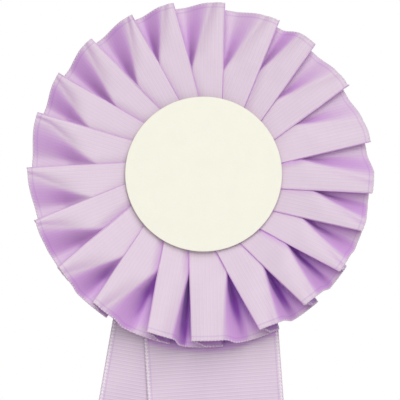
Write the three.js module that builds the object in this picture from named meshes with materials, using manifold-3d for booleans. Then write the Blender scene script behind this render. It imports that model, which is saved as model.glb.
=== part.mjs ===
// Award rosette: a pleated satin ruffle with a card centre, two ribbon tails, and a brooch bar on its back.
//
// Millimetres. The rosette hangs upright: +Z is up, +X is to the right of someone who faces it, and its
// front looks along -Y. The back of the backing card is the plane y = 0, and the origin is on that plane,
// in the middle of the brooch bar, which holds the rosette up. The rosette's own centre is below the bar.
import * as THREE from 'three';
import * as BufferGeometryUtils from 'three/addons/utils/BufferGeometryUtils.js';
import Module from 'manifold-3d';

const wasm = await Module();
wasm.setup();

// ---------------------------------------------------------------- driving dimensions
const RIBBON_WIDTH = 38;          // satin ribbon of the ruffle and both tails
const RIBBON_SOLID = 0.4;         // thickness that stands for one layer of ribbon
const GAP = 0.3;                  // space between pieces that touch
const BAR_ABOVE_CENTRE = 12;      // brooch bar above the rosette's centre
const CENTRE_Z = -BAR_ABOVE_CENTRE;

const PLEATS = 21;
const RIM_RADIUS = 48.6;          // ruffle's outer edge in the valleys between pleats
const HOLE_RADIUS = 11;           // ruffle's inner edge
const PLEAT_RISE = 10;            // top of a pleat above the ruffle's back, at the rim
const INNER_RISE = 1.7;           // the same at the inner edge
const RISE_CURVE = 1.3;           // over 1, because the card presses the pleats down near the middle
const VALLEY_RISE = 0.35;         // floor of a valley above the ruffle's back
const VALLEY_START = 26;          // radius where the valleys begin to open
const VALLEY_FULL = 38;           // radius where they reach the ruffle's back
const CREASE_OFFSET = 4.85;       // a pleat's crisp edge is a line that passes the centre at this distance
const TOP_WIDTH = 6.4;            // width of a pleat's top, from its crisp edge to its soft edge
const PLEAT_TURN = 3;             // degrees that the first pleat is turned from the top

const CENTRE_RADIUS = 22;         // card in the middle
const CENTRE_SHIFT_X = 0.9;       // the card sits a little off the ruffle's centre
const CENTRE_SHIFT_Z = -0.6;
const FACE_THICK = 0.5;
const BOARD_THICK = 1.5;
const BOARD_INSET = 0.4;          // the board is a little smaller than its face

const BACKING_RADIUS = 32;
const BACKING_THICK = 1.0;
const TAPE_RADIUS = 29;
const TAPE_THICK = 0.3;
const BASE_RADIUS = 30;
const BASE_THICK = 1.0;

const STAPLE_WIRE = 0.5;
const STAPLE_CROWN = 12.7;
const STAPLE_TIP = 4.6;           // length of each clenched leg
const STAPLE_OFFSET = 4;          // staples above and below the centre
const STAPLE_HOLE = STAPLE_WIRE + 2 * GAP;

const OVERALL_LENGTH = 250;       // top of the ruffle to the tails' tips
const HEAD_TOP = 9;               // the tails' stapled ends reach this far above the centre
const HINGE_BELOW = 50.4;         // the tails bend this far below the centre, just under the ruffle's rim
const FRONT_LEAN = 3.85;          // degrees that each tail leans from the vertical
const BACK_LEAN = -9.5;
const BACK_TAIL_SHIFT = 1.4;      // the back tail's middle line passes the centre this far to the right
const TAIL_SLANT = 14;            // a tail's cut end is this much longer at one edge
const BACK_TAIL_SHORTER = 8;      // the back tail ends this far above the front one

// ---------------------------------------------------------------- depths, from the back to the front
const BACKING_FRONT = -BACKING_THICK;
const TAPE_FRONT = BACKING_FRONT - GAP - TAPE_THICK;
const CROWN_BACK = TAPE_FRONT - GAP;
const BACK_HEAD_BACK = CROWN_BACK - STAPLE_WIRE - GAP;
const FRONT_HEAD_BACK = BACK_HEAD_BACK - RIBBON_SOLID - GAP;
const BASE_BACK = FRONT_HEAD_BACK - RIBBON_SOLID - GAP;
const BASE_FRONT = BASE_BACK - BASE_THICK;
const RUFFLE_BACK = BASE_FRONT - GAP;
const CLENCH_FRONT = RUFFLE_BACK - STAPLE_WIRE;
const RISE_UNDER_CARD = 4.6;      // the pleats lift the card this far off the ruffle's back
const BOARD_BACK = RUFFLE_BACK - RISE_UNDER_CARD - GAP;
const BOARD_FRONT = BOARD_BACK - BOARD_THICK;
const FACE_BACK = BOARD_FRONT - GAP;

// ---------------------------------------------------------------- brooch bar
const PIN_TAPE_THICK = 0.8;
const PLATE_THICK = 0.7;
const PLATE_BACK = GAP + PIN_TAPE_THICK + GAP;
const PLATE_TOP = PLATE_BACK + PLATE_THICK;
const PLATE_LEFT = -15.5;
const PLATE_RIGHT = 15;
const PLATE_WIDTH = 5;
const HINGE_X = -13;
const PIN_AXIS_Y = PLATE_TOP + 2.2;   // height of the needle and of the catch's axis
const RIVET_RADIUS = 0.5;
const RIVET_HOLE = RIVET_RADIUS + GAP;
const EYE_RADIUS = 1.4;
const EYE_HALF_WIDTH = 0.8;
const EAR_INNER = EYE_HALF_WIDTH + GAP;
const EAR_THICK = 0.5;
const EAR_RADIUS = 1.5;
const RIVET_HEAD_RADIUS = 1.1;
const RIVET_HEAD_THICK = 0.5;
const NEEDLE_RADIUS = 0.35;
const NEEDLE_TIP_X = 14.4;
const NEEDLE_TAPER = 5;
const HOUSING_INNER = 1.9;
const HOUSING_OUTER = 2.4;
const HOUSING_X = 12;
const HOUSING_LENGTH = 2.8;
const CATCH_INNER = 0.9;
const CATCH_OUTER = HOUSING_INNER - GAP;
const CATCH_X = 11.6;
const CATCH_LENGTH = 4.9;
const CATCH_MOUTH = 100;          // degrees that the catch and its housing are open
const LEVER_X = 15.3;
const LEVER_REACH = 3.6;

// ---------------------------------------------------------------- materials
const material = (color, roughness, metalness) => new THREE.MeshStandardMaterial({ color, roughness, metalness });
const satin = material(0xd8bfe2, 0.5, 0);
const satinShade = material(0xcdb2dc, 0.5, 0);
const creamCard = material(0xf5f3e4, 0.75, 0);
const greyBoard = material(0xb9b4a8, 0.9, 0);
const whiteCard = material(0xf1efe9, 0.85, 0);
const hotMelt = material(0xe9dfbf, 0.4, 0);
const thread = material(0xe6dcee, 0.7, 0);
const film = material(0xf4f4ee, 0.6, 0);
const foam = material(0xf6f6f2, 0.9, 0);
const steelWire = material(0xb8babd, 0.3, 1);
const nickel = material(0xc9c8c4, 0.28, 1);

// ---------------------------------------------------------------- helpers
const radians = THREE.MathUtils.degToRad;

/** A closed mesh as a manifold solid, with its shared vertices merged. */
function solidOf(geometry) {
  const bare = geometry.clone();
  bare.deleteAttribute('normal');
  bare.deleteAttribute('uv');
  const merged = BufferGeometryUtils.mergeVertices(bare, 1e-4);
  const vertProperties = new Float32Array(merged.attributes.position.array);
  const triVerts = new Uint32Array(merged.index.array);
  return new wasm.Manifold(new wasm.Mesh({ numProp: 3, vertProperties, triVerts }));
}

/** The geometry of a manifold solid. */
function geometryOf(solid) {
  const mesh = solid.getMesh();
  const geometry = new THREE.BufferGeometry();
  geometry.setAttribute('position', new THREE.BufferAttribute(new Float32Array(mesh.vertProperties), 3));
  geometry.setIndex(new THREE.BufferAttribute(new Uint32Array(mesh.triVerts), 1));
  geometry.computeVertexNormals();
  return geometry;
}

function namedMesh(name, geometry, look) {
  const mesh = new THREE.Mesh(geometry, look);
  mesh.name = name;
  return mesh;
}

/** A flat disc that faces -Y, between two depths. */
function disc(radius, back, front, segments = 64) {
  const profile = [
    new THREE.Vector2(0, front),
    new THREE.Vector2(radius, front),
    new THREE.Vector2(radius, back),
    new THREE.Vector2(0, back),
  ];
  return new THREE.LatheGeometry(profile, segments);
}

/** A shape drawn in X and Z, made solid between two depths along Y. */
function slab(shape, back, front) {
  const geometry = new THREE.ExtrudeGeometry(shape, { depth: back - front, bevelEnabled: false, curveSegments: 12 });
  geometry.rotateX(Math.PI / 2);
  geometry.translate(0, back, 0);
  return geometry;
}

/** A shape drawn in Y and Z, made solid along X. */
function bar(shape, start, length) {
  const geometry = new THREE.ExtrudeGeometry(shape, { depth: length, bevelEnabled: false, curveSegments: 12 });
  geometry.rotateY(Math.PI / 2);
  geometry.rotateX(Math.PI / 2);
  geometry.translate(start, 0, 0);
  return geometry;
}

function box(low, high) {
  const size = high.map((value, i) => value - low[i]);
  const geometry = new THREE.BoxGeometry(...size);
  geometry.translate(...low.map((value, i) => value + size[i] / 2));
  return geometry;
}

// ---------------------------------------------------------------- ruffle
/** Heights of a pleat's top and of a valley's floor above the ruffle's back, at a radius. */
function pleatHeights(radius) {
  const along = (radius - HOLE_RADIUS) / (RIM_RADIUS - HOLE_RADIUS);
  const top = THREE.MathUtils.lerp(INNER_RISE, PLEAT_RISE, along ** RISE_CURVE);
  const open = THREE.MathUtils.smoothstep(radius, VALLEY_START, VALLEY_FULL);
  return { top, valley: THREE.MathUtils.lerp(top - 0.5, VALLEY_RISE, open) };
}

/** The corners of one pleat's cross-section at a radius, as an angle from the pleat's axis and a height. */
function pleatSection(radius) {
  const pitch = (2 * Math.PI) / PLEATS;
  const { top, valley } = pleatHeights(radius);
  const softEdge = Math.asin((CREASE_OFFSET - TOP_WIDTH) / radius);
  const wall = 0.9 / radius;
  const crisp = Math.min(Math.asin(CREASE_OFFSET / radius), softEdge + pitch - 2.2 * wall);
  const foot = crisp + wall;
  const nextSoft = softEdge + pitch;
  return [
    [softEdge, top],
    [(softEdge + crisp) / 2, top + 0.3],
    [crisp, top],
    [foot, valley],
    [THREE.MathUtils.lerp(foot, nextSoft, 0.6), THREE.MathUtils.lerp(valley, top, 0.45)],
  ];
}

/** The pleated ribbon: a sheet of even thickness that waves around the centre, closed at both edges. */
function ruffle() {
  const radii = [HOLE_RADIUS, 16, CENTRE_RADIUS, VALLEY_START, 31, VALLEY_FULL, 43, RIM_RADIUS];
  const columns = [];
  for (let pleat = 0; pleat < PLEATS; pleat++) {
    const axis = radians(PLEAT_TURN) + (2 * Math.PI * pleat) / PLEATS;
    for (let corner = 0; corner < pleatSection(RIM_RADIUS).length; corner++) {
      columns.push(radii.map((radius) => {
        const [turn, height] = pleatSection(radius)[corner];
        const angle = axis + turn;
        return new THREE.Vector3(
          radius * Math.sin(angle), RUFFLE_BACK - RIBBON_SOLID / 2 - height, CENTRE_Z + radius * Math.cos(angle));
      }));
    }
  }
  const rows = radii.length;
  const count = columns.length;
  const point = (column, row) => columns[(column + count) % count][row];
  const normalAt = (column, row) => {
    const across = point(column + 1, row).clone().sub(point(column - 1, row));
    const along = point(column, Math.min(row + 1, rows - 1)).clone().sub(point(column, Math.max(row - 1, 0)));
    return along.cross(across).normalize();
  };
  const positions = [];
  for (const side of [1, -1]) {
    for (let column = 0; column < count; column++) {
      for (let row = 0; row < rows; row++) {
        const offset = normalAt(column, row).multiplyScalar((side * RIBBON_SOLID) / 2);
        positions.push(...point(column, row).clone().add(offset).toArray());
      }
    }
  }
  const index = [];
  const id = (side, column, row) => side * count * rows + (column % count) * rows + row;
  const quad = (a, b, c, d) => index.push(a, b, c, a, c, d);
  for (let column = 0; column < count; column++) {
    for (let row = 0; row < rows - 1; row++) {
      quad(id(0, column, row), id(0, column, row + 1), id(0, column + 1, row + 1), id(0, column + 1, row));
      quad(id(1, column, row), id(1, column + 1, row), id(1, column + 1, row + 1), id(1, column, row + 1));
    }
    quad(id(0, column, 0), id(0, column + 1, 0), id(1, column + 1, 0), id(1, column, 0));
    quad(id(0, column, rows - 1), id(1, column, rows - 1), id(1, column + 1, rows - 1), id(0, column + 1, rows - 1));
  }
  const geometry = new THREE.BufferGeometry();
  geometry.setAttribute('position', new THREE.Float32BufferAttribute(positions, 3));
  geometry.setIndex(index);
  geometry.computeVertexNormals();
  return namedMesh('ruffle', geometry, satin);
}

/** The thread that draws the pleats together, in the space between the ruffle and the card's board. */
function gatheringThread() {
  const ringRadius = 13.5;
  const threadRadius = 0.3;
  const centre = RUFFLE_BACK - pleatHeights(ringRadius).top - RIBBON_SOLID - GAP - 0.5;
  const profile = [];
  for (let i = 0; i <= 8; i++) {
    const turn = (i * Math.PI) / 4;
    profile.push(new THREE.Vector2(ringRadius + threadRadius * Math.cos(turn), threadRadius * Math.sin(turn)));
  }
  const mesh = namedMesh('gathering_thread', new THREE.LatheGeometry(profile, 48), thread);
  mesh.position.set(0, centre, CENTRE_Z);
  return mesh;
}

// ---------------------------------------------------------------- card centre and backing
function centreCard() {
  const group = new THREE.Group();
  group.position.set(CENTRE_SHIFT_X, 0, CENTRE_Z + CENTRE_SHIFT_Z);
  group.add(namedMesh('centre_face', disc(CENTRE_RADIUS, FACE_BACK, FACE_BACK - FACE_THICK), creamCard));
  group.add(namedMesh('centre_board', disc(CENTRE_RADIUS - BOARD_INSET, BOARD_BACK, BOARD_FRONT), greyBoard));
  return group;
}

/** Hot-melt glue between the base card and the board, in the ruffle's hole: a blob with a bulging side. */
function centreGlue() {
  const back = CLENCH_FRONT - GAP;
  const front = BOARD_BACK + GAP;
  const profile = [new THREE.Vector2(0, front), new THREE.Vector2(8.2, front)];
  profile.push(new THREE.Vector2(9.2, THREE.MathUtils.lerp(front, back, 0.3)));
  profile.push(new THREE.Vector2(9.4, THREE.MathUtils.lerp(front, back, 0.65)));
  profile.push(new THREE.Vector2(8.8, back), new THREE.Vector2(0, back));
  const mesh = namedMesh('centre_glue', new THREE.LatheGeometry(profile, 32), hotMelt);
  mesh.position.z = CENTRE_Z;
  return mesh;
}

/** The places, in X and Z, where the staples' legs pass through the tails and the base card. */
function staplePlaces() {
  const side = STAPLE_CROWN / 2 - STAPLE_WIRE / 2;
  return [STAPLE_OFFSET, -STAPLE_OFFSET].flatMap((up) => [[-side, CENTRE_Z + up], [side, CENTRE_Z + up]]);
}

/** Cuts the four square leg holes out of a flat piece. */
function withStapleHoles(geometry) {
  let solid = solidOf(geometry);
  const half = STAPLE_HOLE / 2;
  for (const [x, z] of staplePlaces()) {
    const hole = box([x - half, RUFFLE_BACK, z - half], [x + half, 0, z + half]);
    solid = solid.subtract(solidOf(hole));
  }
  return geometryOf(solid);
}

function baseCard() {
  const geometry = disc(BASE_RADIUS, BASE_BACK, BASE_FRONT);
  geometry.translate(0, 0, CENTRE_Z);
  return namedMesh('base_card', withStapleHoles(geometry), greyBoard);
}

function backing() {
  const group = new THREE.Group();
  group.position.z = CENTRE_Z;
  const tape = disc(TAPE_RADIUS, BACKING_FRONT - GAP, TAPE_FRONT);
  group.add(namedMesh('backing_tape', tape, film));
  group.add(namedMesh('backing_card', disc(BACKING_RADIUS, 0, BACKING_FRONT), whiteCard));
  return group;
}

/** A staple: crown at the back, legs through the card, tips clenched flat at the front. */
function staple(name, up) {
  const half = STAPLE_CROWN / 2;
  const wire = STAPLE_WIRE;
  const tip = half - STAPLE_TIP;
  const rightSide = [
    new THREE.Vector2(half, CROWN_BACK),
    new THREE.Vector2(half, CLENCH_FRONT),
    new THREE.Vector2(tip, CLENCH_FRONT),
    new THREE.Vector2(tip, CLENCH_FRONT + wire),
    new THREE.Vector2(half - wire, CLENCH_FRONT + wire),
    new THREE.Vector2(half - wire, CROWN_BACK - wire),
  ];
  const leftSide = rightSide.map((corner) => new THREE.Vector2(-corner.x, corner.y)).reverse();
  const outline = new THREE.Shape([...rightSide, ...leftSide]);
  const geometry = new THREE.ExtrudeGeometry(outline, { depth: wire, bevelEnabled: false });
  geometry.translate(0, 0, CENTRE_Z + up - wire / 2);
  return namedMesh(name, geometry, steelWire);
}

// ---------------------------------------------------------------- tails
/** A tail's outline between two heights below the centre, leaning, with level ends unless slanted. */
function tailOutline(lean, shift, top, bottom, slant = 0) {
  const run = Math.tan(radians(lean));
  const half = RIBBON_WIDTH / 2 / Math.cos(radians(lean));
  const corner = (side, height) => new THREE.Vector2(shift - height * run + side * half, CENTRE_Z + height);
  return new THREE.Shape([
    corner(-1, bottom + slant), corner(1, bottom), corner(1, top), corner(-1, top)]);
}

/** One tail: the stapled head, and the part that hangs from the ruffle's lower edge. */
function tail(name, back, lean, shift, length, slant) {
  const front = back - RIBBON_SOLID;
  const group = new THREE.Group();
  const head = slab(tailOutline(lean, shift, HEAD_TOP, -HINGE_BELOW + GAP / 2), back, front);
  group.add(namedMesh(`${name}_head`, withStapleHoles(head), satinShade));
  const hanging = tailOutline(lean, shift, -HINGE_BELOW - GAP / 2, -length, slant);
  group.add(namedMesh(name, slab(hanging, back, front), satinShade));
  return group;
}

// ---------------------------------------------------------------- brooch bar
/** A ring sector in Y and Z about the catch's axis, open towards +Y. */
function openRing(inner, outer) {
  const start = radians(CATCH_MOUTH / 2);
  const end = 2 * Math.PI - start;
  const steps = 20;
  const points = [];
  for (let i = 0; i <= steps; i++) {
    const turn = THREE.MathUtils.lerp(start, end, i / steps);
    points.push(new THREE.Vector2(outer * Math.cos(turn), outer * Math.sin(turn)));
  }
  for (let i = steps; i >= 0; i--) {
    const turn = THREE.MathUtils.lerp(start, end, i / steps);
    points.push(new THREE.Vector2(inner * Math.cos(turn), inner * Math.sin(turn)));
  }
  return new THREE.Shape(points);
}

/** A short cylinder along Z at the needle's hinge. */
function hingeCylinder(radius, low, high) {
  const geometry = new THREE.CylinderGeometry(radius, radius, high - low, 20);
  geometry.rotateX(Math.PI / 2);
  geometry.translate(HINGE_X, PIN_AXIS_Y, (low + high) / 2);
  return geometry;
}

function pinPlate() {
  const half = PLATE_WIDTH / 2;
  let solid = solidOf(box([PLATE_LEFT, PLATE_BACK, -half], [PLATE_RIGHT, PLATE_TOP, half]));
  for (const side of [-1, 1]) {
    const low = side > 0 ? EAR_INNER : -EAR_INNER - EAR_THICK;
    const high = low + EAR_THICK;
    solid = solid.add(solidOf(hingeCylinder(EAR_RADIUS, low, high)));
    const web = box([HINGE_X - EAR_RADIUS, PLATE_BACK, low], [HINGE_X + EAR_RADIUS, PIN_AXIS_Y, high]);
    solid = solid.add(solidOf(web));
  }
  solid = solid.subtract(solidOf(hingeCylinder(RIVET_HOLE, -half, half)));
  const housing = bar(openRing(HOUSING_INNER, HOUSING_OUTER), HOUSING_X, HOUSING_LENGTH);
  housing.translate(0, PIN_AXIS_Y, 0);
  solid = solid.add(solidOf(housing));
  return namedMesh('pin_plate', geometryOf(solid), nickel);
}

function pinRivet() {
  const inside = EAR_INNER + EAR_THICK + GAP;
  const outside = inside + RIVET_HEAD_THICK;
  let solid = solidOf(hingeCylinder(RIVET_RADIUS, -outside, outside));
  solid = solid.add(solidOf(hingeCylinder(RIVET_HEAD_RADIUS, inside, outside)));
  solid = solid.add(solidOf(hingeCylinder(RIVET_HEAD_RADIUS, -outside, -inside)));
  return namedMesh('pin_rivet', geometryOf(solid), nickel);
}

function pinNeedle() {
  const start = HINGE_X + RIVET_HOLE + 0.2;
  const profile = [
    new THREE.Vector2(0, start),
    new THREE.Vector2(NEEDLE_RADIUS, start),
    new THREE.Vector2(NEEDLE_RADIUS, NEEDLE_TIP_X - NEEDLE_TAPER),
    new THREE.Vector2(0.12, NEEDLE_TIP_X - 0.3),
    new THREE.Vector2(0, NEEDLE_TIP_X),
  ];
  const shaft = new THREE.LatheGeometry(profile, 12);
  shaft.rotateZ(-Math.PI / 2);
  shaft.translate(0, PIN_AXIS_Y, 0);
  const eye = solidOf(hingeCylinder(EYE_RADIUS, -EYE_HALF_WIDTH, EYE_HALF_WIDTH));
  const hole = solidOf(hingeCylinder(RIVET_HOLE, -EAR_INNER, EAR_INNER));
  return namedMesh('pin_needle', geometryOf(eye.add(solidOf(shaft)).subtract(hole)), nickel);
}

/** The roll-over catch: an open ring in the housing, with a thumb lever beyond the bar's end. */
function pinCatch() {
  const ring = bar(openRing(CATCH_INNER, CATCH_OUTER), CATCH_X, CATCH_LENGTH);
  const lever = box([LEVER_X, -0.5, -LEVER_REACH], [CATCH_X + CATCH_LENGTH, 0.5, -CATCH_INNER - 0.2]);
  const mesh = namedMesh('pin_catch', geometryOf(solidOf(ring).add(solidOf(lever))), nickel);
  mesh.position.y = PIN_AXIS_Y;
  return mesh;
}

function broochPin() {
  const group = new THREE.Group();
  const half = PLATE_WIDTH / 2 - 0.3;
  const tape = box([PLATE_LEFT + 0.8, GAP, -half], [PLATE_RIGHT - 0.8, GAP + PIN_TAPE_THICK, half]);
  group.add(namedMesh('pin_tape', tape, foam), pinPlate(), pinRivet(), pinNeedle(), pinCatch());
  return group;
}

// ---------------------------------------------------------------- the rosette
const rosette = new THREE.Group();
const tailLength = OVERALL_LENGTH - RIM_RADIUS;
rosette.add(centreCard(), centreGlue(), ruffle(), gatheringThread(), baseCard(), backing(), broochPin());
rosette.add(staple('staple_upper', STAPLE_OFFSET), staple('staple_lower', -STAPLE_OFFSET));
rosette.add(tail('front_tail', FRONT_HEAD_BACK, FRONT_LEAN, 0, tailLength, TAIL_SLANT));
rosette.add(tail('back_tail', BACK_HEAD_BACK, BACK_LEAN, BACK_TAIL_SHIFT, tailLength - BACK_TAIL_SHORTER, TAIL_SLANT));

export default rosette;
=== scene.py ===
"""Award rosette: satin ruffle, card centre, two ribbon tails and a brooch pin, dressed round the frame.

Metres. The rosette's front faces -Y and +Z is up. Angles round the ruffle run clockwise from the top, as
seen from the front, and heights in the ruffle are measured forward from its back.
"""
import math

import bmesh
import bpy
import numpy as np
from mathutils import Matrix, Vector
from mathutils.bvhtree import BVHTree


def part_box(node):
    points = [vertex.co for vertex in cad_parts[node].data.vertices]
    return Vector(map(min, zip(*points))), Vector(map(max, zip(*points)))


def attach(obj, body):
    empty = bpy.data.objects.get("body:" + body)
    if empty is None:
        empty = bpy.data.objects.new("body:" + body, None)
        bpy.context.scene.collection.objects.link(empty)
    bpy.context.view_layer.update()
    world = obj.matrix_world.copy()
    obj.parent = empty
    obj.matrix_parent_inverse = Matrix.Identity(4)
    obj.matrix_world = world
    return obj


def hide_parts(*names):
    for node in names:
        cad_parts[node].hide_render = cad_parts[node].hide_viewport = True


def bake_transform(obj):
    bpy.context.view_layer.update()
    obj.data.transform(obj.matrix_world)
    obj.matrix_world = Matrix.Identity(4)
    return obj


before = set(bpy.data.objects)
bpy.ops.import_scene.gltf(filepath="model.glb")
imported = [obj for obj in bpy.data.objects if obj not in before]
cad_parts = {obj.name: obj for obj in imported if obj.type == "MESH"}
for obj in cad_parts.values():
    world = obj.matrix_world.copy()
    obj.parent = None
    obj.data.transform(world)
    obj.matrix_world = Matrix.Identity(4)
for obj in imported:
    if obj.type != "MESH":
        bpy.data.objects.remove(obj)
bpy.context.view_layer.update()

MM = 0.001
ROOT = "rosette"

# ---------------------------------------------------------------- sizes, from the frame where it has them
FACE_LOW, FACE_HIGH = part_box("centre_face")
CARD_RADIUS = (FACE_HIGH.x - FACE_LOW.x) / 2
CARD_X = (FACE_HIGH.x + FACE_LOW.x) / 2
CARD_Z = (FACE_HIGH.z + FACE_LOW.z) / 2
BACKING_LOW, BACKING_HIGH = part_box("backing_card")
CENTRE_Z = (BACKING_LOW.z + BACKING_HIGH.z) / 2
RUFFLE_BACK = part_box("ruffle")[1].y

RIBBON_WIDTH = 38 * MM
RIBBON_THICK = 0.18 * MM
LAYER = 0.27 * MM            # from one folded layer of ribbon to the next
PICOT_PITCH = 1.01 * MM      # loops along the selvedge, one for every two picks of weft
PICOT_WIDTH = 1.3 * MM
PICOT_THICK = 0.44 * MM
PICOT_PROUD = 0.10 * MM      # how far the loops stand out past the ribbon's edge
PLEAT_LENGTH = 40 * MM       # ribbon in one pleat
HOLE_RADIUS = 11 * MM
RIM_RADIUS = HOLE_RADIUS + RIBBON_WIDTH

# The pleats' heights. A crisp edge is lower where its top is wide and on the right, and higher low down.
INNER_HEIGHT = 3.2 * MM      # of every top at the ruffle's inner edge
CRISP_HEIGHT = 11.0 * MM     # of a crisp edge at the rim
WIDE_LOWERS = 0.45           # a crisp edge, as a share of its top's width
LOW_RAISES = 1.8 * MM
RIGHT_LOWERS = 0.8 * MM
CRISP_VARIES = 0.5 * MM
SOFT_LOWER = (0.3, 1.2)      # how much lower a soft edge is than its crisp edge, in millimetres
LEFT_SOFT_LOWER = 0.6        # and more on the left
STEEPEST_TOP = 0.25          # from a soft edge to its crisp edge, as a rise over a run
CROWN = 0.4 * MM             # how much a top bulges

# The valleys, whose floors are shares of the height of the crisp edge that they come out under.
FLOOR = 0.42
LOW_FLOOR = 0.15             # in the lower pleats, which hang open
RIGHT_FLOOR = 0.13           # more on the right
RAMP_START = 0.22            # where a valley starts to rise to the next top, as a share of the way to it
RAMP_PAST = 1.25             # where it gets there, as a share of the valley's width
RAMP_INTO_TOP = 0.6          # but no further than this share of the top
WALL_FOOT = 0.6 * MM
WALL_BEND = 1.2
HIDDEN_FLOOR = 0.3 * MM
SHUT_ROLL = 3 * MM           # how much of a shut pleat rises to its top
NARROWEST_VALLEY = 0.3 * MM
OPENS_OVER = 5.5 * MM        # along the radius, from shut to open
LEFT_OPENS_OVER = 4.5 * MM   # and more on the left

# What lies under a top, and how the rim is drawn in.
MOST_UNDERLAY = 17 * MM      # where the pleats are shut
UNDERLAY_SPARE = 1.2 * MM    # kept free at the far side of an open pleat's top
SAG = 0.9 * MM               # how far a valley's rim is drawn in
RIGHT_SAG = 1.1              # more of it on the right
LEFT_SAG = 0.7
LOW_DRAWN_IN = 1.0 * MM      # how far a low pleat's rim is drawn in where it stands high
RIM_WAVE = 0.12 * MM

# Painted shade: how dark a violet the ribbon is painted in folds and valleys, where shade and light bounced
# between the folds would be.
OPEN_SHARE = 0.3             # of its view that a point can lose before it gets painted shade
MOST_TURNED = 0.3            # the most painted shade that turning away from the front and lying in a valley add
SHOWN_WEIGHT = 0.5           # how much being shut in counts on a pleat's shown side
SHOWN_LOW = 0.8              # more in the low pleats
SHOWN_SIDE = 0.4             # less at the left and the right
HIDDEN_WEIGHT = 0.1          # how much it counts on the hidden side
HIDDEN_LOW = 0.6
TAIL_WEIGHT = 2.5            # how much it counts on the tails, where the ruffle above casts painted shadow on them
VALLEY_SHADE = 0.13            # painted shade in a valley: a darker violet standing in for the light its sides bounce to each other
EVEN_TINT = 0.55             # as a share of VALLEY_SHADE, where a valley's painted tint is even
RIGHT_TINT = 0.25            # more on the right, at the crisp edge
RIGHT_FADE = 0.5             # and how much of it fades toward the soft edge
LOW_TINT_LESS = 0.6
SOFT_CREASE = 0.12           # over which an even tint ends, as a share of the way to the soft edge

# The tails.
TAIL_SLANT = 14 * MM         # how much lower a cut end is on one side
FRONT_LEAN = 3.85            # degrees
BACK_LEAN = -9.5
BACK_SHIFT = 1.4 * MM        # sideways
FRONT_WAVE = 1.4 * MM
BACK_WAVE = 1.2 * MM
APART = 0.9 * MM             # how far each tail moves away from the other, further down
SWAY_FROM = 6 * MM           # below the joints, where the waves start
SWAY_GROWS = 60 * MM         # over which they grow to their full size
RIPPLE_LENGTH = 26 * MM      # of a wave, for each radian
TWIST_LENGTH = 40 * MM
CUP = 0.35                   # how much a tail's edges stand off its middle, as a share of its wave
TWIST = 0.25

# Where a pleat's cross-section has its points: on its shown side as lengths of ribbon back from the crisp
# edge, and on its hidden side as shares of what is left.
SHOWN_STATIONS = np.concatenate([[0, 0.1, 0.25, 0.5, 0.9], np.linspace(1.35, 20, 46)]) * MM
HIDDEN_STATIONS = np.concatenate([[0, 0.006, 0.013, 0.021, 0.03, 0.045], np.linspace(0.08, 0.965, 20)])

# Each pleat, clockwise from the top: where its crisp edge crosses the card's edge and the rim, how wide
# its top is at the rim (all in degrees), and how far from the centre the fold beside it opens (millimetres).
PLEATS = [
    (16.2, 8.1, 6.7, 29.5), (33.7, 27.3, 7.5, 29.5), (49.3, 41.8, 7.2, 33), (65.8, 59.4, 7.8, 29.5),
    (83.1, 79.8, 10.0, 29.5), (101.5, 97.5, 6.9, 27.5), (118.5, 110.8, 5.0, 31.5), (134.4, 126.3, 5.4, 31),
    (151.4, 142.7, 6.6, 31), (169.3, 159.8, 8.1, 32), (188.1, 182.9, 12.0, 29), (207.5, 197.9, 9.2, 27.5),
    (225.8, 218.4, 6.7, 30), (243.5, 235.2, 5.6, 32), (260.4, 252.5, 4.2, 31.5), (276.9, 270.6, 4.8, 31),
    (294.8, 289.6, 3.6, 29), (311.0, 304.6, 4.2, 33.5), (327.7, 320.5, 5.3, 30), (343.6, 336.3, 4.2, 30),
    (358.8, 350.8, 5.2, 33),
]


# ---------------------------------------------------------------- view and light
def look_at(obj, target):
    obj.rotation_euler = (Vector(target) - obj.location).to_track_quat("-Z", "Y").to_euler()


def make_camera():
    """Slightly below the rosette, looking up at it, close enough that the tails run out of the frame."""
    distance = 0.52
    below = math.radians(8.5)
    frame_width = 113.4 * MM
    target = Vector((-0.1 * MM, RUFFLE_BACK, CENTRE_Z - 7.1 * MM))
    data = bpy.data.cameras.new("camera")
    data.sensor_width = 36
    data.lens = data.sensor_width * distance / frame_width
    camera = bpy.data.objects.new("camera", data)
    camera.location = target + distance * Vector((0, -math.cos(below), -math.sin(below)))
    bpy.context.scene.collection.objects.link(camera)
    look_at(camera, target)
    bpy.context.scene.camera = camera


def area_light(name, place, size, power, target=(0, 0, CENTRE_Z)):
    data = bpy.data.lights.new(name, "AREA")
    data.size = size
    data.energy = power
    light = bpy.data.objects.new(name, data)
    light.location = place
    bpy.context.scene.collection.objects.link(light)
    look_at(light, target)


def make_studio():
    """Soft light from in front and above, a white world and a pale floor far below."""
    area_light("key", (0.32, -1.1, 0.75), 1.1, 8.6)
    area_light("fill", (0.0, -1.4, 0.05), 1.0, 6.9)
    area_light("rear", (0.3, 1.3, 0.6), 1.0, 13)
    world = bpy.data.worlds.new("studio")
    world.use_nodes = True
    tree = world.node_tree
    background = tree.nodes["Background"]
    path = tree.nodes.new("ShaderNodeLightPath")
    strength = tree.nodes.new("ShaderNodeMapRange")
    strength.inputs["To Min"].default_value = 0.37
    strength.inputs["To Max"].default_value = 1.0
    tree.links.new(path.outputs["Is Camera Ray"], strength.inputs["Value"])
    tree.links.new(strength.outputs["Result"], background.inputs["Strength"])
    background.inputs["Color"].default_value = (1, 1, 1, 1)
    scene = bpy.context.scene
    scene.world = world
    scene.view_settings.view_transform = "Standard"

    floor = bpy.data.objects.new("floor", bpy.data.meshes.new("floor"))
    half = 4.0
    depth = -0.9
    corners = [(-half, -half, depth), (half, -half, depth), (half, half, depth), (-half, half, depth)]
    floor.data.from_pydata(corners, [], [(0, 1, 2, 3)])
    floor.data.materials.append(plain_material("floor", (0.92, 0.92, 0.91), 0.8))
    scene.collection.objects.link(floor)


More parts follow.
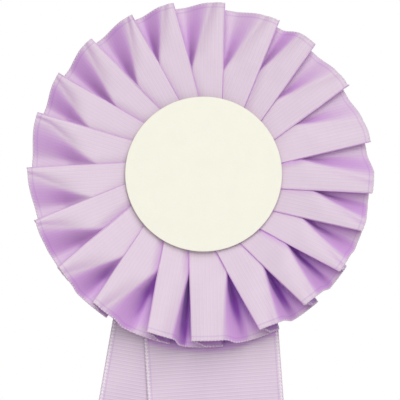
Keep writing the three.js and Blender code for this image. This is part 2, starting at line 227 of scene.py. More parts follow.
# ---------------------------------------------------------------- materials
def plain_material(name, color, roughness, metallic=0.0):
    material = bpy.data.materials.new(name)
    material.use_nodes = True
    shader = material.node_tree.nodes["Principled BSDF"]
    shader.inputs["Base Color"].default_value = (*color, 1)
    shader.inputs["Roughness"].default_value = roughness
    shader.inputs["Metallic"].default_value = metallic
    return material


class Nodes:
    """Short calls for the nodes of one material."""

    def __init__(self, name, roughness, metallic=0.0):
        self.material = plain_material(name, (0.8, 0.8, 0.8), roughness, metallic)
        self.tree = self.material.node_tree
        self.shader = self.tree.nodes["Principled BSDF"]

    def add(self, kind, **settings):
        node = self.tree.nodes.new(kind)
        for key, value in settings.items():
            setattr(node, key, value)
        return node

    def link(self, source, target):
        self.tree.links.new(source, target)

    def feed(self, socket, value):
        if isinstance(value, bpy.types.NodeSocket):
            self.link(value, socket)
        else:
            socket.default_value = value

    def math(self, operation, a, b=0.0):
        node = self.add("ShaderNodeMath", operation=operation)
        self.feed(node.inputs[0], a)
        self.feed(node.inputs[1], b)
        return node.outputs[0]

    def noise(self, vector, scale, detail=3.0, roughness=0.5):
        node = self.add("ShaderNodeTexNoise")
        self.feed(node.inputs["Vector"], vector)
        node.inputs["Scale"].default_value = scale
        node.inputs["Detail"].default_value = detail
        node.inputs["Roughness"].default_value = roughness
        return node.outputs["Fac"]

    def span(self, value, low, high, to_low=0.0, to_high=1.0, smooth=False):
        node = self.add("ShaderNodeMapRange", clamp=True)
        if smooth:
            node.interpolation_type = "SMOOTHSTEP"
        self.feed(node.inputs["Value"], value)
        node.inputs["From Min"].default_value = low
        node.inputs["From Max"].default_value = high
        node.inputs["To Min"].default_value = to_low
        node.inputs["To Max"].default_value = to_high
        return node.outputs["Result"]

    def mix(self, share, a, b):
        node = self.add("ShaderNodeMix", data_type="RGBA")
        self.feed(node.inputs["Factor"], share)
        for socket, value in ((node.inputs[6], a), (node.inputs[7], b)):
            self.feed(socket, (*value, 1) if isinstance(value, tuple) else value)
        return node.outputs[2]

    def bump(self, height, distance, strength=1.0, edge=0.0):
        """Bumps from a height, over edges softened by a radius where one is given."""
        node = self.add("ShaderNodeBump")
        if edge:
            bevel = self.add("ShaderNodeBevel", samples=4)
            bevel.inputs["Radius"].default_value = edge
            self.link(bevel.outputs["Normal"], node.inputs["Normal"])
        node.inputs["Distance"].default_value = distance
        node.inputs["Strength"].default_value = strength
        self.link(height, node.inputs["Height"])
        self.link(node.outputs["Normal"], self.shader.inputs["Normal"])
        return node

    def color(self, value):
        self.link(value, self.shader.inputs["Base Color"])


def satin_material(name, light, middle, deep, ribs):
    """Satin ribbon: weft ribs across it, fine warp along it, a denser selvedge, and painted shade in folds
    as a darker violet.

    The UV map holds the ribbon's own coordinates in metres: along it in U, and across it in V.
    """
    n = Nodes(name, 0.42)
    uv = n.add("ShaderNodeUVMap", uv_map="ribbon")
    split = n.add("ShaderNodeSeparateXYZ")
    n.link(uv.outputs["UV"], split.inputs[0])
    along, across = split.outputs["X"], split.outputs["Y"]
    pick = n.math("SINE", n.math("MULTIPLY", along, 4 * math.pi / PICOT_PITCH))
    pair = n.math("SINE", n.math("MULTIPLY", along, 2 * math.pi / PICOT_PITCH))
    rib = n.math("ADD", n.math("MULTIPLY", pick, 0.3), n.math("MULTIPLY", pair, 0.2))

    stretched = n.add("ShaderNodeCombineXYZ")
    n.feed(stretched.inputs[0], n.math("MULTIPLY", along, 60))
    n.feed(stretched.inputs[1], n.math("MULTIPLY", across, 5000))
    warp = n.noise(stretched.outputs[0], 1.0, 2.0)
    blotch = n.noise(uv.outputs["UV"], 120.0, 3.0)
    fine = n.noise(uv.outputs["UV"], 1600.0, 2.0)

    # Painted shade: the fold attribute paints the ribbon toward middle and then deep violet in folds and
    # valleys, where shade and bounced light fall; faces that point backward get little of it.
    fold = n.add("ShaderNodeAttribute", attribute_name="fold").outputs["Fac"]
    facing = n.add("ShaderNodeSeparateXYZ")
    n.link(n.add("ShaderNodeNewGeometry").outputs["True Normal"], facing.inputs[0])
    fold = n.math("MULTIPLY", fold, n.span(facing.outputs["Y"], 0.0, 0.15, 1.0, 0.15))
    shade = n.mix(n.span(fold, 0.03, 0.3), light, middle)
    shade = n.mix(n.span(fold, 0.3, 0.85, smooth=True), shade, deep)
    patchy = n.span(n.noise(uv.outputs["UV"], 45.0, 1.0), 0.35, 0.65, 0.6, 1.0)
    ribs_here = n.math("MULTIPLY", n.span(rib, -0.5, 0.5, 0.0, ribs), patchy)
    ribbed = n.mix(ribs_here, shade, tuple(0.6 * c for c in deep))
    from_middle = n.math("ABSOLUTE", n.math("SUBTRACT", across, RIBBON_WIDTH / 2))
    from_edge = n.math("SUBTRACT", RIBBON_WIDTH / 2, from_middle)
    seam = n.math("ABSOLUTE", n.math("SUBTRACT", from_edge, PICOT_WIDTH))
    ribbed = n.mix(n.span(seam, 0.08 * MM, 0.3 * MM, 0.22, 0.0), ribbed, deep)
    worn = n.mix(n.span(blotch, 0.35, 0.7, 0.0, 0.10), ribbed, tuple(min(1, 1.12 * c) for c in light))
    threads = n.mix(n.span(warp, 0.35, 0.65, 0.0, 0.05), worn, tuple(0.7 * c for c in light))
    n.color(threads)

    height = n.math("ADD", n.math("MULTIPLY", rib, 0.8), n.math("MULTIPLY", warp, 0.5))
    height = n.math("ADD", height, n.math("MULTIPLY", fine, 0.6))
    n.bump(height, 0.03 * MM, 0.5)
    rough = n.span(warp, 0.3, 0.7, 0.38, 0.5)
    n.link(rough, n.shader.inputs["Roughness"])
    n.shader.inputs["Specular IOR Level"].default_value = 0.7
    n.shader.inputs["Sheen Weight"].default_value = 0.25
    n.shader.inputs["Sheen Roughness"].default_value = 0.4
    n.shader.inputs["Sheen Tint"].default_value = (0.95, 0.88, 1.0, 1)
    return n.material


def picot_material(name, color):
    """Twisted yarn of the selvedge loops: paler than the ribbon, finely banded."""
    n = Nodes(name, 0.55)
    place = n.add("ShaderNodeTexCoord").outputs["Object"]
    grain = n.noise(place, 9000.0, 2.0)
    n.color(n.mix(n.span(grain, 0.3, 0.7, 0.0, 0.35), color, tuple(0.75 * c for c in color)))
    n.bump(grain, 0.03 * MM, 0.4)
    n.shader.inputs["Sheen Weight"].default_value = 0.2
    return n.material


def card_material(name, color, mottle, roughness=0.72):
    """Uncoated card: pulp mottling, short fibres and a faint tooth."""
    n = Nodes(name, roughness)
    place = n.add("ShaderNodeTexCoord").outputs["Object"]
    cloud = n.noise(place, 160.0, 4.0, 0.6)
    fibre = n.noise(place, 2600.0, 3.0, 0.65)
    clouded = n.mix(n.span(cloud, 0.35, 0.65), color, tuple(c * (1 - mottle) for c in color))
    n.color(n.mix(n.span(fibre, 0.35, 0.7, 0.0, 0.5), clouded, tuple(c * (1 - 1.5 * mottle) for c in color)))
    n.bump(n.math("ADD", fibre, n.math("MULTIPLY", cloud, 0.6)), 0.05 * MM, 0.35)
    n.link(n.span(fibre, 0.3, 0.7, roughness - 0.06, roughness + 0.1), n.shader.inputs["Roughness"])
    return n.material


def metal_material(name, color, roughness, edge):
    """Plated or drawn metal: softened edges, dull patches and fine handling marks."""
    n = Nodes(name, roughness, metallic=1.0)
    place = n.add("ShaderNodeTexCoord").outputs["Object"]
    patches = n.noise(place, 420.0, 3.0, 0.6)
    marks = n.noise(place, 7000.0, 2.0, 0.7)
    n.color(n.mix(n.span(patches, 0.4, 0.75, 0.0, 0.6), color, tuple(0.72 * c for c in color)))
    dull = n.math("ADD", n.span(patches, 0.35, 0.75, 0.0, 0.12), n.span(marks, 0.3, 0.7, 0.0, 0.08))
    n.link(n.math("ADD", dull, roughness - 0.06), n.shader.inputs["Roughness"])
    n.bump(marks, 0.004 * MM, 0.4, edge)
    return n.material


def foam_material(name, color):
    """Fine closed-cell foam with tiny pits, painted darker inside them as painted shade."""
    n = Nodes(name, 0.85)
    place = n.add("ShaderNodeTexCoord").outputs["Object"]
    cells = n.add("ShaderNodeTexVoronoi", feature="F1")
    cells.inputs["Scale"].default_value = 4200.0
    n.link(place, cells.inputs["Vector"])
    pit = n.span(cells.outputs["Distance"], 0.1, 0.6)
    # Painted shade: the pits are painted darker where they hollow the surface.
    n.color(n.mix(pit, tuple(0.78 * c for c in color), color))
    n.bump(pit, 0.05 * MM, 0.6)
    n.link(n.span(pit, 0, 1, 0.95, 0.78), n.shader.inputs["Roughness"])
    return n.material


def film_material(name, color, roughness):
    """Smooth adhesive or glue: waxy, with slow waves and small specks."""
    n = Nodes(name, roughness)
    place = n.add("ShaderNodeTexCoord").outputs["Object"]
    waves = n.noise(place, 240.0, 2.0)
    specks = n.noise(place, 3000.0, 2.0)
    n.color(n.mix(n.span(waves, 0.35, 0.7), color, tuple(0.9 * c for c in color)))
    n.bump(n.math("ADD", waves, n.math("MULTIPLY", specks, 0.2)), 0.2 * MM, 0.4)
    n.link(n.span(specks, 0.3, 0.7, roughness - 0.08, roughness + 0.08), n.shader.inputs["Roughness"])
    n.shader.inputs["Coat Weight"].default_value = 0.15
    return n.material


def refinish(material, *nodes):
    """A better material for CAD nodes whose shapes stay as they are."""
    for node in nodes:
        for material_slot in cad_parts[node].material_slots:
            material_slot.material = material


# ---------------------------------------------------------------- mesh helpers
def place_object(name, mesh, material, body=ROOT):
    piece = bpy.data.objects.new(name, mesh)
    bpy.context.scene.collection.objects.link(piece)
    mesh.materials.append(material)
    for polygon in mesh.polygons:
        polygon.use_smooth = True
    if body:
        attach(piece, body)
    return piece


def grid_mesh(name, points, closed_columns=False, closed_rows=False, uv=None):
    """A mesh from an array of points [column, row, xyz], with the ribbon's coordinates as its UV map."""
    columns, rows = points.shape[:2]
    last_column = columns if closed_columns else columns - 1
    last_row = rows if closed_rows else rows - 1
    i, j = np.meshgrid(np.arange(last_column), np.arange(last_row), indexing="ij")
    i2, j2 = (i + 1) % columns, (j + 1) % rows
    corners = [(i, j), (i2, j), (i2, j2), (i, j2)]
    faces = np.stack([a * rows + b for a, b in corners], axis=-1).reshape(-1, 4)
    mesh = bpy.data.meshes.new(name)
    mesh.from_pydata(points.reshape(-1, 3).tolist(), [], faces.tolist())
    if uv is not None:
        layer = mesh.uv_layers.new(name="ribbon")
        picks = [uv[a, b] for a, b in ((i, j), (i + 1, j), (i + 1, j2), (i, j2))]
        layer.data.foreach_set("uv", np.stack(picks, axis=2).reshape(-1).astype(np.float32))
    return mesh


def smoothstep(value, low, high):
    t = np.clip((value - low) / (high - low), 0, 1)
    return t * t * (3 - 2 * t)


def mix(a, b, share):
    return a + (b - a) * share


# ---------------------------------------------------------------- ruffle
def pointing(pleat):
    """How far a pleat points left, right and down, each from 0 to 1."""
    angle = math.radians(PLEATS[pleat][1])
    return max(0.0, -math.sin(angle)), max(0.0, math.sin(angle)), max(0.0, -math.cos(angle))


def pleat_curve(shape, underlay):
    """One pleat's cross-section, as two lists of (along, height): its hidden part and its shown part.

    The ribbon turns under at the crisp edge before this pleat, runs back to a hidden fold, returns below
    itself, comes out under that crisp edge, runs level, rises to its own soft edge and runs flat to its own
    crisp edge. It is mixed from its shape where the pleats lie shut and its shape where the valley is open.
    """
    pitch, before, opening = shape["pitch"], shape["before"], shape["opening"]
    turn = np.linspace(0, math.pi, 7)
    fold = LAYER / 2
    bend = np.stack([fold * np.sin(turn), before - fold * (1 - np.cos(turn))], axis=1)
    tilt = 2 * LAYER / pitch + shape["slope"]
    s = np.linspace(0, 1, 25)
    shut_wall = before - LAYER - tilt * underlay * s
    open_wall = WALL_FOOT + (before - LAYER - WALL_FOOT) * (1 - s) ** WALL_BEND
    wall = np.stack([-underlay * s, mix(shut_wall, open_wall, opening)], axis=1)

    shut_floor = before - 2 * LAYER - tilt * underlay * (1 - s)
    open_floor = mix(HIDDEN_FLOOR, shape["floor"], smoothstep(s, 0, 1))
    floor = np.stack([-underlay * (1 - s), mix(shut_floor, open_floor, opening)], axis=1)

    x = np.linspace(0, pitch, 90)
    shut_rise = 1 - (1 - np.clip(x / SHUT_ROLL, 0, 1)) ** 2
    shut_top = mix(before - 2 * LAYER, shape["crisp"], shut_rise)
    crest = shape["crest"]
    across = np.clip((x - crest) / (pitch - crest), 0, 1)
    panel = mix(shape["soft"], shape["crisp"], across) + CROWN * np.sin(math.pi * across)
    open_top = mix(shape["floor"], panel, smoothstep(x, RAMP_START * crest, crest))
    top = np.stack([x, mix(shut_top, open_top, opening)], axis=1)
    return np.concatenate([bend, wall[1:], floor]), top


def curve_length(curve):
    return np.linalg.norm(np.diff(curve, axis=0), axis=1).sum()


def along_curve(curve, distances):
    """Points of a curve at given distances from its start."""
    steps = np.linalg.norm(np.diff(curve, axis=0), axis=1)
    reached = np.concatenate([[0], np.cumsum(steps)])
    return np.stack([np.interp(distances, reached, curve[:, axis]) for axis in (0, 1)], axis=1)


def pleat_section(shape):
    """A cross-section as points at the ribbon's own stations.

    The hidden fold takes up the ribbon that is left over, as far as there is room for it. The shown side has
    a point at fixed lengths of ribbon from the crisp edge, so the weft runs straight across the ribbon.
    """
    low, high = 0.2 * MM, shape["room"]
    for _ in range(10):
        underlay = (low + high) / 2
        hidden, top = pleat_curve(shape, underlay)
        if curve_length(hidden) + curve_length(top) > PLEAT_LENGTH:
            high = underlay
        else:
            low = underlay
    curve = np.concatenate([hidden, top[1:]])
    total = curve_length(curve)
    shown = total - SHOWN_STATIONS[::-1]
    unseen = HIDDEN_STATIONS * (total - SHOWN_STATIONS[-1])
    return along_curve(curve, np.concatenate([unseen, shown]))


def crisp_angle(pleat, radius):
    """The angle of a pleat's crisp edge: a straight line, so its angle goes with one over the radius."""
    at_edge, at_rim = PLEATS[pleat % len(PLEATS)][:2]
    share = (1 / radius - 1 / RIM_RADIUS) / (1 / CARD_RADIUS - 1 / RIM_RADIUS)
    whole_turns = 360 * (pleat // len(PLEATS))
    return np.radians(at_rim + whole_turns + (at_edge - at_rim) * share)


def top_width(pleat, radii):
    """How wide a flat top is: all of the pleat as far as the fold beside it opens, then a straight taper."""
    opens = PLEATS[pleat][3] * MM
    pitches = radii * (crisp_angle(pleat, radii) - crisp_angle(pleat - 1, radii))
    at_opening = opens * (crisp_angle(pleat, opens) - crisp_angle(pleat - 1, opens))
    at_rim = math.radians(PLEATS[pleat][2]) * RIM_RADIUS
    out = np.clip((radii - opens) / (RIM_RADIUS - opens), 0, 1)
    return np.where(radii < opens, pitches, mix(at_opening, at_rim, out))


def edge_heights(rng):
    """The heights at the rim of every pleat's crisp edge and soft edge."""
    crisp = []
    for pleat in range(len(PLEATS)):
        _, right, down = pointing(pleat)
        top = math.radians(PLEATS[pleat][2]) * RIM_RADIUS
        height = CRISP_HEIGHT - WIDE_LOWERS * top + LOW_RAISES * down - RIGHT_LOWERS * right
        crisp.append(height + rng.uniform(-1, 1) * CRISP_VARIES)
    soft = []
    for pleat in range(len(PLEATS)):
        lower = rng.uniform(*SOFT_LOWER) + LEFT_SOFT_LOWER * pointing(pleat)[0]
        soft.append(crisp[pleat] - lower * MM)
    return crisp, soft


def pleat_run(pleat, rows, crisp, soft):
    """A pleat's measures at each row of the ribbon, as arrays by name."""
    left, right, down = pointing(pleat)
    radii = HOLE_RADIUS + rows
    share = rows / RIBBON_WIDTH
    opens, opened_before = PLEATS[pleat][3] * MM, PLEATS[pleat - 1][3] * MM
    start = crisp_angle(pleat - 1, radii)
    pitch = radii * (crisp_angle(pleat, radii) - start)
    top_before = top_width(pleat - 1, radii)
    valley = np.maximum(pitch - top_width(pleat, radii), NARROWEST_VALLEY)
    crest = np.minimum(RAMP_PAST * valley, valley + RAMP_INTO_TOP * (pitch - valley))
    before = mix(INNER_HEIGHT, crisp[pleat - 1], share)
    crisp_here = mix(INNER_HEIGHT, crisp[pleat], share)
    soft_here = mix(INNER_HEIGHT, soft[pleat], share)
    fall = (crisp[pleat - 1] - soft[pleat - 1]) * share / np.maximum(top_before, 3 * MM)
    first = min(opens, opened_before)
    return {
        "radius": radii,
        "start": start,
        "pitch": pitch,
        "crest": crest,
        "before": before,
        "crisp": crisp_here,
        "soft": np.maximum(soft_here, crisp_here - STEEPEST_TOP * (pitch - crest)),
        "floor": (mix(FLOOR, LOW_FLOOR, down) + RIGHT_FLOOR * right) * before,
        "opening": smoothstep(radii, opens - 0.8 * MM, opens + OPENS_OVER + LEFT_OPENS_OVER * left),
        "slope": fall * smoothstep(radii, opened_before - 2 * MM, opened_before + 4 * MM),
        "room": mix(MOST_UNDERLAY, top_before - UNDERLAY_SPARE, smoothstep(radii, first - 3 * MM, first)),
        "inward": smoothstep(radii, opens + 2 * MM, RIM_RADIUS),
    }


def place_pleat(pleat, rows, run, along, high, phase):
    """A pleat's points as [column, row, xyz], from how far along it they are and how high."""
    left, right, down = pointing(pleat)
    before = run["before"][:, None]
    angle = run["start"][:, None] + along / run["radius"][:, None]
    reach = np.sqrt(np.maximum(rows[:, None] ** 2 - (high - INNER_HEIGHT).clip(0) ** 2, 0))
    depth = np.clip((before - high) / (before - run["floor"][:, None]), 0, 1)
    sag = SAG * (1 + RIGHT_SAG * right + LEFT_SAG * left) * depth
    drawn_in = mix(sag, LOW_DRAWN_IN * smoothstep(high, 4 * MM, 7 * MM), down)
    radial = HOLE_RADIUS + reach - drawn_in * run["inward"][:, None]
    wave = RIM_WAVE * np.sin(rows / (7 * MM) + phase)[:, None]
    forward = high + wave * smoothstep(high, 2 * MM, 4 * MM)
    x = radial * np.sin(angle)
    y = RUFFLE_BACK - RIBBON_THICK / 2 - forward
    z = CENTRE_Z + radial * np.cos(angle)
    return np.stack([x, y, z], axis=-1).transpose(1, 0, 2)


def pleat_shades(pleat, run, along):
    """Two painted shades at each point [column, row]: how much being shut in adds painted shade, and a
    valley's painted tint.

    In the upper and right pleats the tint is even as far as the soft edge, and on the left it is strongest
    half-way up the slope.
    """
    left, right, down = pointing(pleat)
    shown = SHOWN_WEIGHT + SHOWN_LOW * down - SHOWN_SIDE * (left + right)
    hidden = HIDDEN_WEIGHT + HIDDEN_LOW * down
    shut_in = np.where(along < -0.3 * MM, hidden, shown)
    band = np.clip(along / run["crest"][:, None], 0, 1)
    even = np.where(along > 0, smoothstep(1 - band, 0, SOFT_CREASE), 0)
    even = even * (EVEN_TINT + RIGHT_TINT * right - RIGHT_FADE * right * band)
    evenness = min(1.0, max(0.4, right + 0.7 * math.cos(math.radians(PLEATS[pleat][1]))))
    tint = mix(np.sin(math.pi * band), even, evenness)
    tint = VALLEY_SHADE * tint * run["opening"][:, None] * (1 - LOW_TINT_LESS * down)
    return np.stack([shut_in.T, tint.T], axis=-1)


def ruffle_points():
    """The ruffle as [column, row, xyz], its UV coordinates, and each point's shades."""
    rng = np.random.default_rng(21)
    rows = np.concatenate([np.linspace(0, 37.3, 48), [37.7, 38.0]]) * MM
    crisp, soft = edge_heights(rng)
    shown_from = PLEAT_LENGTH - SHOWN_STATIONS[-1]
    stations = np.concatenate([HIDDEN_STATIONS * shown_from, PLEAT_LENGTH - SHOWN_STATIONS[::-1]])
    points, uv, shades = [], [], []
    for pleat in range(len(PLEATS)):
        phase = rng.uniform(0, 2 * math.pi)
        run = pleat_run(pleat, rows, crisp, soft)
        shapes = [{name: values[row] for name, values in run.items()} for row in range(len(rows))]
        section = np.stack([pleat_section(shape) for shape in shapes])
        along, high = section[..., 0], section[..., 1]
        points.append(place_pleat(pleat, rows, run, along, high, phase))
        shades.append(pleat_shades(pleat, run, along))
        uv.append(np.stack(np.meshgrid(pleat * PLEAT_LENGTH + stations, rows, indexing="ij"), axis=-1))
    closing = uv[0][:1] + np.array([len(PLEATS) * PLEAT_LENGTH, 0])
    return np.concatenate(points), np.concatenate([*uv, closing]), np.concatenate(shades)


def fold_directions(rays, spread=0.85):
    """Directions spread over a share of the hemisphere that faces forward."""
    directions = []
    for index in range(rays):
        up = 1 - (index + 0.5) / rays * spread
        turn = index * math.pi * (3 - math.sqrt(5))
        flat = math.sqrt(1 - up * up)
        directions.append(Vector((flat * math.cos(turn), -up, flat * math.sin(turn))))
    return directions


def view_lost(mesh, tree, rays=28, reach=14 * MM, ahead=0.15 * MM, rounds=3):
    """The share of the forward view that the cloth near each point takes away, evened out a little."""
    directions = fold_directions(rays)
    lost = []
    for vertex in mesh.vertices:
        start = vertex.co + Vector((0, -ahead, 0))
        hits = sum(tree.ray_cast(start, way, reach)[0] is not None for way in directions)
        lost.append(hits / rays)
    lost = np.array(lost)
    edges = np.array([edge.vertices for edge in mesh.edges])
    neighbours = np.bincount(edges.ravel(), minlength=len(lost))
    for _ in range(rounds):
        around = np.bincount(edges[:, 0], lost[edges[:, 1]], len(lost))
        around += np.bincount(edges[:, 1], lost[edges[:, 0]], len(lost))
        lost = (lost + around) / (1 + neighbours)
    return lost


def paint_fold_shade(mesh, tree, weights, tints=0.0):
    """Stores painted shade at each point as its fold attribute: from 0 in the open to 1 at the bottom of a
    fold.

    The painted shade grows with how shut in the point is, times its weight, and with its painted valley tint
    and how far the cloth there turns away from the front, standing in for the pale gloss that the lamps in
    front give satin.
    """
    shut_in = np.clip((view_lost(mesh, tree) - OPEN_SHARE) / (1 - OPEN_SHARE), 0, 1)
    turned = 1 - np.abs([vertex.normal.y for vertex in mesh.vertices])
    shallow = np.minimum(turned + tints, MOST_TURNED)
    layer = mesh.attributes.new("fold", "FLOAT", "POINT")
    layer.data.foreach_set("value", np.minimum(shut_in * weights + shallow, 1).astype(np.float32))


def cloth_tree(mesh):
    return BVHTree.FromPolygons([v.co for v in mesh.vertices], [p.vertices for p in mesh.polygons])


def solidify(piece, thickness):
    modifier = piece.modifiers.new("thickness", "SOLIDIFY")
    modifier.thickness = thickness
    modifier.offset = 0


def picot_strip(name, edge, outward, width, material, body=ROOT, closed=False):
    """A selvedge's loops as one beaded strip along an edge, a bead for every two picks of the weft."""
    steps_per_bead, sides = 8, 6
    bead_share, neck = 0.29, 0.25
    steps = np.linalg.norm(np.diff(edge, axis=0), axis=1)
    reached = np.concatenate([[0], np.cumsum(steps)])
    beads = int(reached[-1] / PICOT_PITCH)
    places = np.linspace(0, reached[-1], beads * steps_per_bead, endpoint=not closed)
    centre = np.stack([np.interp(places, reached, edge[:, axis]) for axis in range(3)], axis=1)
    out = np.stack([np.interp(places, reached, outward[:, axis]) for axis in range(3)], axis=1)
    out /= np.linalg.norm(out, axis=1, keepdims=True)
    run = np.gradient(centre, axis=0)
    up = np.cross(run, out)
    up /= np.linalg.norm(up, axis=1, keepdims=True)
    from_bead = np.abs((np.arange(len(places)) / steps_per_bead) % 1 - 0.5)
    swell = np.maximum(neck, np.sqrt(np.maximum(0, 1 - (from_bead / bead_share) ** 2)))
    half_width, half_thick = width / 2 * swell, PICOT_THICK / 2 * (0.5 + 0.5 * swell)
    middle = centre + out * (PICOT_PROUD - width / 2)
    rings = []
    for side in range(sides):
        turn = 2 * math.pi * side / sides
        outward_part = out * (half_width * math.cos(turn))[:, None]
        rings.append(middle + outward_part + up * (half_thick * math.sin(turn))[:, None])
    mesh = grid_mesh(name, np.stack(rings, axis=1), closed_columns=closed, closed_rows=True)
    if not closed:
        cap_ends(mesh, len(places), sides)
    return place_object(name, mesh, material, body)


def cap_ends(mesh, columns, rows):
    work = bmesh.new()
    work.from_mesh(mesh)
    work.verts.ensure_lookup_table()
    work.faces.new([work.verts[i] for i in reversed(range(rows))])
    work.faces.new([work.verts[(columns - 1) * rows + i] for i in range(rows)])
    bmesh.ops.recalc_face_normals(work, faces=work.faces)
    work.to_mesh(mesh)
    work.free()


def make_ruffle(satin, picot):
    points, uv, shades = ruffle_points()
    mesh = grid_mesh("ruffle_ribbon", points, closed_columns=True, uv=uv)
    tree = cloth_tree(mesh)
    # Painted shade in the ruffle's folds and valleys.
    paint_fold_shade(mesh, tree, *shades.reshape(-1, 2).T)
    piece = place_object("ruffle_ribbon", mesh, satin)
    solidify(piece, RIBBON_THICK)
    loop = np.concatenate([points, points[:1]])
    outward = loop[:, -1] - loop[:, -3]
    picots = picot_strip("ruffle_picots", loop[:, -1], outward, 0.5 * PICOT_WIDTH, picot, closed=True)
    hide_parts("ruffle")
    return tree


# ---------------------------------------------------------------- tails
def make_tail(name, lean, shift, wave, apart, satin, picot, ruffle):
    """One ribbon from its stapled end to its slanted cut, flat down to a little below its joint and rippling
    under that.
    """
    head_low, head_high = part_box(f"{name}_head")
    low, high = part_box(name)
    depth = (low.y + high.y) / 2
    hinge = (head_low.z + high.z) / 2
    lean = math.radians(lean)
    run = Vector((math.sin(lean), 0, -math.cos(lean)))
    side = Vector((math.cos(lean), 0, math.sin(lean)))
    start = Vector((shift, depth, CENTRE_Z)) - run * (head_high.z - CENTRE_Z) / math.cos(lean)
    half = RIBBON_WIDTH / 2
    lengths = []
    for edge in (-1, 1):
        bottom = low.z + (TAIL_SLANT if edge < 0 else 0)
        lengths.append((start.z + edge * half * side.z - bottom) / math.cos(lean))
    across = np.concatenate([[-1, -0.985], np.linspace(-0.96, 0.96, 17), [0.985, 1]])
    count = 150
    points = np.zeros((count, len(across), 3))
    uv = np.zeros((count, len(across), 2))
    for row, v in enumerate(across):
        length = mix(lengths[0], lengths[1], (v + 1) / 2)
        for column in range(count):
            u = length * column / (count - 1)
            place = start + run * u + side * (half * v)
            below = max(0.0, hinge - SWAY_FROM - place.z)
            ramp = smoothstep(below, 0, SWAY_GROWS)
            ripple = wave * ramp * math.sin(below / RIPPLE_LENGTH + 0.7)
            cup = CUP * wave * ramp * (v * v - 0.4)
            cup += TWIST * wave * ramp * v * math.sin(below / TWIST_LENGTH)
            points[column, row] = (place.x, place.y + apart * ramp + ripple + cup, place.z)
            uv[column, row] = (u, half * (v + 1))
    mesh = grid_mesh(f"{name}_ribbon", points, uv=uv)
    # Painted shadow: the tail is painted a darker violet where the ruffle above takes away its view, under
    # the ruffle's rim.
    paint_fold_shade(mesh, ruffle, TAIL_WEIGHT)
    piece = place_object(f"{name}_ribbon", mesh, satin, body=None)
    solidify(piece, RIBBON_THICK)
    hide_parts(name, f"{name}_head")
    extras = []
    for label, row, inner in (("left", 0, 2), ("right", -1, -3)):
        edge = points[:, row]
        outward = edge - points[:, inner]
        extras.append(picot_strip(f"{name}_picots_{label}", edge, outward, PICOT_WIDTH, picot, body=None))
    for thing in [piece, *extras]:
        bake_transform(thing)


# ---------------------------------------------------------------- card centre
def lathe(name, profile, centre, material, body=ROOT, segments=128):
    """A closed round piece about a line along Y, from (radius, y) points that start and end on the axis."""
    work = bmesh.new()
    rings = []
    for radius, y in profile:
        if radius < 1e-6:
            rings.append([work.verts.new((centre[0], y, centre[1]))])
            continue
        ring = []
        for i in range(segments):
            turn = 2 * math.pi * i / segments
            place = (centre[0] + radius * math.cos(turn), y, centre[1] + radius * math.sin(turn))
            ring.append(work.verts.new(place))
        rings.append(ring)
    for first, second in zip(rings, rings[1:]):
        for i in range(segments):
            j = (i + 1) % segments
            corners = [(first, i), (first, j), (second, j), (second, i)]
            loop = [ring[k % len(ring)] for ring, k in corners]
            work.faces.new(list(dict.fromkeys(loop)))
    bmesh.ops.recalc_face_normals(work, faces=work.faces)
    mesh = bpy.data.meshes.new(name)
    work.to_mesh(mesh)
    work.free()
    piece = place_object(name, mesh, material, body)
    mesh.set_sharp_from_angle(angle=math.radians(40))
    return piece


def card_profile(radius, back, front, edge=0.12 * MM):
    """A die-cut card's half outline: front face, softened front edge, cut side, back face."""
    steps = 10
    inward = math.copysign(edge, back - front)
    face = [(radius * i / steps * 0.985, front) for i in range(steps + 1)]
    rolled = [(radius - edge * (1 - math.sin(t)), front + inward * (1 - math.cos(t)))
              for t in (0.3, 0.8, 1.25, math.pi / 2)]
    rim = [(radius, mix(front, back, share)) for share in (0.5, 0.9)]
    return [*face, *rolled, *rim, (radius - 0.05 * MM, back), (0, back)]


def make_centre(cream, board):
    face = lathe("card_face", card_profile(CARD_RADIUS, FACE_HIGH.y, FACE_LOW.y), (CARD_X, CARD_Z), cream)
    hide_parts("centre_face")
    low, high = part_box("centre_board")
    under = lathe("card_board", card_profile((high.x - low.x) / 2, high.y, low.y), (CARD_X, CARD_Z), board)
    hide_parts("centre_board")


# ---------------------------------------------------------------- back, stitches and pin
def make_back(white, foam):
    low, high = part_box("backing_card")
    profile = card_profile((high.x - low.x) / 2, low.y, high.y, edge=0.2 * MM)
    backing = lathe("card_backing", profile, (0, CENTRE_Z), white)
    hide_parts("backing_card")

    low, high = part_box("pin_tape")
    pad = rounded_block("pin_foam", low, high, 0.15 * MM, foam)
    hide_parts("pin_tape")


def rounded_block(name, low, high, radius, material):
    work = bmesh.new()
    bmesh.ops.create_cube(work, size=1)
    size, middle = high - low, (high + low) / 2
    for vertex in work.verts:
        vertex.co = Vector([vertex.co[axis] * size[axis] + middle[axis] for axis in range(3)])
    bmesh.ops.bevel(work, geom=work.edges[:], offset=radius, segments=3, affect="EDGES", profile=0.5)
    mesh = bpy.data.meshes.new(name)
    work.to_mesh(mesh)
    work.free()
    return place_object(name, mesh, material)


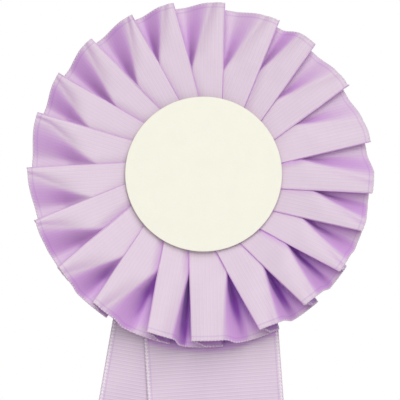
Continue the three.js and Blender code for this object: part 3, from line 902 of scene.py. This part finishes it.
def make_thread(yarn):
    """The running stitch that gathers the ruffle: over the pleats, and under them at every crisp edge."""
    low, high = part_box("gathering_thread")
    thickness = 0.35 * MM
    ring = (high.x - low.x) / 2 - thickness / 2
    stitches, steps, sides = 2 * len(PLEATS), 12, 8
    turns = 2 * math.pi * np.arange(stitches * steps) / (stitches * steps)
    dip = (high.y - low.y - thickness) / 2 * np.cos(turns * stitches / 2)
    middle = (high.y + low.y) / 2 + dip
    rings = []
    for side in range(sides):
        around = 2 * math.pi * side / sides
        radius = ring + thickness / 2 * math.cos(around)
        rings.append(np.stack([radius * np.sin(turns), middle + thickness / 2 * math.sin(around),
                               CENTRE_Z + radius * np.cos(turns)], axis=-1))
    mesh = grid_mesh("gathering_stitches", np.stack(rings, axis=1), closed_columns=True, closed_rows=True)
    piece = place_object("gathering_stitches", mesh, yarn)
    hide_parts("gathering_thread")


# ---------------------------------------------------------------- the scene
make_camera()
make_studio()
# Painted shade colours: middle for half shade in folds, deep for the darkest shade; the ribs and the
# selvedge seam are darkened toward it too.
middle, deep = (0.67, 0.37, 0.75), (0.29, 0.055, 0.50)
# The ruffle and the tails are one ribbon; the tails' satin and picots are painted lighter than the ruffle's,
# lit and shaded copies of one colour (painted light).
ruffle_satin = satin_material("ruffle satin", (0.68, 0.545, 0.655), middle, deep, 0.13)
ruffle = make_ruffle(ruffle_satin, picot_material("ruffle picots", (0.74, 0.61, 0.73)))
tail_satin = satin_material("tail satin", (0.71, 0.577, 0.685), middle, deep, 0.36)
tail_picot = picot_material("tail picots", (0.86, 0.77, 0.84))
make_tail("front_tail", FRONT_LEAN, 0.0, FRONT_WAVE, -APART, tail_satin, tail_picot, ruffle)
make_tail("back_tail", BACK_LEAN, BACK_SHIFT, BACK_WAVE, APART, tail_satin, tail_picot, ruffle)
cream = card_material("cream card", (0.87, 0.86, 0.745), 0.02)
board = card_material("grey board", (0.45, 0.42, 0.36), 0.12)
make_centre(cream, board)
white = card_material("white card", (0.85, 0.84, 0.80), 0.03)
make_back(white, foam_material("foam", (0.88, 0.88, 0.86)))
make_thread(picot_material("thread", (0.75, 0.68, 0.78)))
refinish(white, "base_card")
refinish(film_material("adhesive film", (0.88, 0.88, 0.84), 0.4), "backing_tape")
refinish(film_material("hot melt", (0.78, 0.68, 0.45), 0.35), "centre_glue")
steel = metal_material("steel wire", (0.60, 0.61, 0.62), 0.30, 0.1 * MM)
refinish(steel, "staple_upper", "staple_lower")
nickel = metal_material("nickel", (0.70, 0.68, 0.64), 0.26, 0.12 * MM)
refinish(nickel, "pin_plate", "pin_rivet", "pin_needle", "pin_catch")
